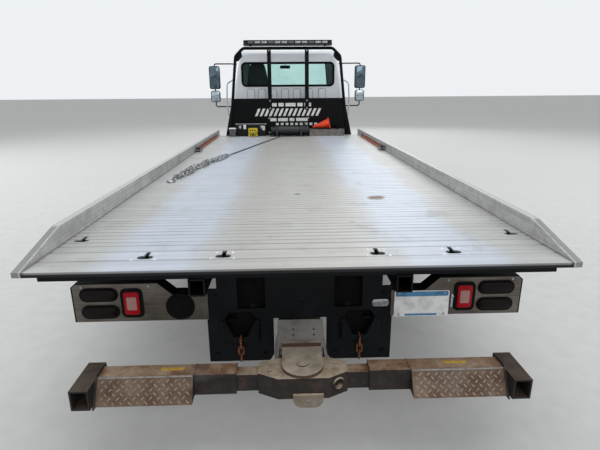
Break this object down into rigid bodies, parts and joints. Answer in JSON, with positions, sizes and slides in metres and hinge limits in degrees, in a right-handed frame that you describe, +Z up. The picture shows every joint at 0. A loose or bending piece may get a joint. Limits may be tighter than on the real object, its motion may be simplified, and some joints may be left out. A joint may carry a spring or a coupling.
{
  "type": "flatbed tow truck",
  "caption": "Flatbed tow truck with a sliding, tilting aluminium bed, a conventional cab with a tilting hood, and a wheel lift at its tail.",
  "frame": {"origin": "on the ground under the middle of the whole truck, from the crossbar's receivers to the front bumper", "axes": "+Y forward, +X to the right seen from behind, +Z up"},
  "size_m": [3.15, 9.54, 2.5849],
  "materials": {
    "black_paint": "semi-gloss",
    "black_plastic": "matt",
    "bright_aluminium": "polished",
    "cab_paint": "gloss",
    "chrome": "polished",
    "deck_aluminium": "brushed",
    "flap_rubber": "matt",
    "greasy_iron": "greasy",
    "lamp_amber": "gloss",
    "lamp_glass": "clear",
    "lamp_red": "gloss",
    "rope_wire": "wire",
    "rusty_steel": "rusty",
    "seat_cloth": "woven",
    "stainless": "brushed",
    "tyre_rubber": "matt",
    "wheel_paint": "gloss",
    "window_glass": "clear",
    "worn_steel": "worn"
  },
  "bodies": {
    "chassis": {"frame_rails": "black_paint", "front_axle": "greasy_iron", "rear_axle": "greasy_iron", "driveline": "greasy_iron", "side_tanks": "bright_aluminium", "tool_boxes": "bright_aluminium", "exhaust": "worn_steel", "front_bumper": "chrome", "mud_flaps": "flap_rubber", "cab_shell": "cab_paint", "cab_glass": "window_glass", "cab_interior": "seat_cloth", "grab_rails": "bright_aluminium", "tail_plate": "black_paint", "light_brackets": "stainless", "tail_lamps": "lamp_red", "tail_chains": "rusty_steel"},
    "hood_body": {"hood": "cab_paint", "grille": "chrome", "headlamps": "lamp_glass"},
    "door_left_body": {"door_left": "cab_paint", "door_glass_left": "window_glass", "mirrors_left": "black_plastic"},
    "door_right_body": {"door_right": "cab_paint", "door_glass_right": "window_glass", "mirrors_right": "black_plastic"},
    "knuckle_left_body": {"knuckle_left": "greasy_iron"},
    "knuckle_right_body": {"knuckle_right": "greasy_iron"},
    "front_wheel_left": {"tyre_front_left": "tyre_rubber", "rim_front_left": "wheel_paint"},
    "front_wheel_right": {"tyre_front_right": "tyre_rubber", "rim_front_right": "wheel_paint"},
    "rear_wheels_left": {"tyres_rear_left": "tyre_rubber", "rims_rear_left": "wheel_paint"},
    "rear_wheels_right": {"tyres_rear_right": "tyre_rubber", "rims_rear_right": "wheel_paint"},
    "tilt_body": {"tilt_frame": "black_paint"},
    "barrel_body": {"tilt_barrels": "black_paint"},
    "rod_body": {"tilt_rods": "chrome"},
    "bed_body": {"deck_floor": "deck_aluminium", "side_rails": "deck_aluminium", "bed_sills": "deck_aluminium", "bed_crossbeams": "deck_aluminium", "headboard": "black_paint", "light_bar": "lamp_amber", "winch": "black_paint", "winch_rope": "rope_wire", "deck_chain": "rusty_steel", "stowed_gear": "black_plastic", "gear_tray": "black_plastic"},
    "boom_body": {"boom_sleeve": "black_paint"},
    "boom_slide_body": {"boom_slide": "worn_steel"},
    "crossbar_body": {"crossbar": "rusty_steel"}
  },
  "joints": [
    {"name": "steer_left", "type": "hinge", "parent": "chassis", "child": "knuckle_left_body", "pos_m": [-0.88, 3.75, 0.426], "axis": [0, 0, 1], "range_deg": [-32, 32]},
    {"name": "steer_right", "type": "hinge", "parent": "chassis", "child": "knuckle_right_body", "pos_m": [0.88, 3.75, 0.426], "axis": [0, 0, 1], "range_deg": [-32, 32]},
    {"name": "front_left_roll", "type": "hinge", "parent": "knuckle_left_body", "child": "front_wheel_left", "pos_m": [-1.035, 3.75, 0.426], "axis": [1, 0, 0], "continuous": true},
    {"name": "front_right_roll", "type": "hinge", "parent": "knuckle_right_body", "child": "front_wheel_right", "pos_m": [1.035, 3.75, 0.426], "axis": [1, 0, 0], "continuous": true},
    {"name": "rear_left_roll", "type": "hinge", "parent": "chassis", "child": "rear_wheels_left", "pos_m": [-0.921, -1.43, 0.426], "axis": [1, 0, 0], "continuous": true},
    {"name": "rear_right_roll", "type": "hinge", "parent": "chassis", "child": "rear_wheels_right", "pos_m": [0.921, -1.43, 0.426], "axis": [1, 0, 0], "continuous": true},
    {"name": "hood_tilt", "type": "hinge", "parent": "chassis", "child": "hood_body", "pos_m": [0, 4.7, 0.762], "axis": [-1, 0, 0], "range_deg": [0, 55]},
    {"name": "door_left_swing", "type": "hinge", "parent": "chassis", "child": "door_left_body", "pos_m": [-1.042, 3.333, 1.4], "axis": [0, 0, -1], "range_deg": [0, 70]},
    {"name": "door_right_swing", "type": "hinge", "parent": "chassis", "child": "door_right_body", "pos_m": [1.042, 3.333, 1.4], "axis": [0, 0, 1], "range_deg": [0, 70]},
    {"name": "bed_tilt", "type": "hinge", "parent": "chassis", "child": "tilt_body", "pos_m": [0, -4.04, 0.83], "axis": [1, 0, 0], "range_deg": [0, 15]},
    {"name": "bed_slide", "type": "slide", "parent": "tilt_body", "child": "bed_body", "axis": [0, -1, 0], "range_m": [0, 3]},
    {"name": "cylinder_swing", "type": "hinge", "parent": "chassis", "child": "barrel_body", "pos_m": [0, -0.6, 0.54], "axis": [1, 0, 0], "range_deg": [0, 44.6]},
    {"name": "cylinder_stroke", "type": "slide", "parent": "barrel_body", "child": "rod_body", "axis": [0, 0.9823, 0.1875], "range_m": [0, 0.574]},
    {"name": "boom_tilt", "type": "hinge", "parent": "chassis", "child": "boom_body", "pos_m": [0, -2.7, 0.45], "axis": [1, 0, 0], "range_deg": [0, 5]},
    {"name": "boom_extend", "type": "slide", "parent": "boom_body", "child": "boom_slide_body", "axis": [0, 1, 0], "range_m": [-1.2, 0]},
    {"name": "crossbar_swivel", "type": "hinge", "parent": "boom_slide_body", "child": "crossbar_body", "pos_m": [0, -4.625, 0.427], "axis": [0, 0, 1], "range_deg": [-25, 25]}
  ],
  "couplings": [
    {"joint": "steer_right", "follows": "steer_left", "ratio": 1},
    {"joint": "cylinder_swing", "follows": "bed_tilt", "ratio": 2.9567},
    {"joint": "cylinder_stroke", "follows": "bed_tilt", "m_per_rad": 2.1811}
  ]
}
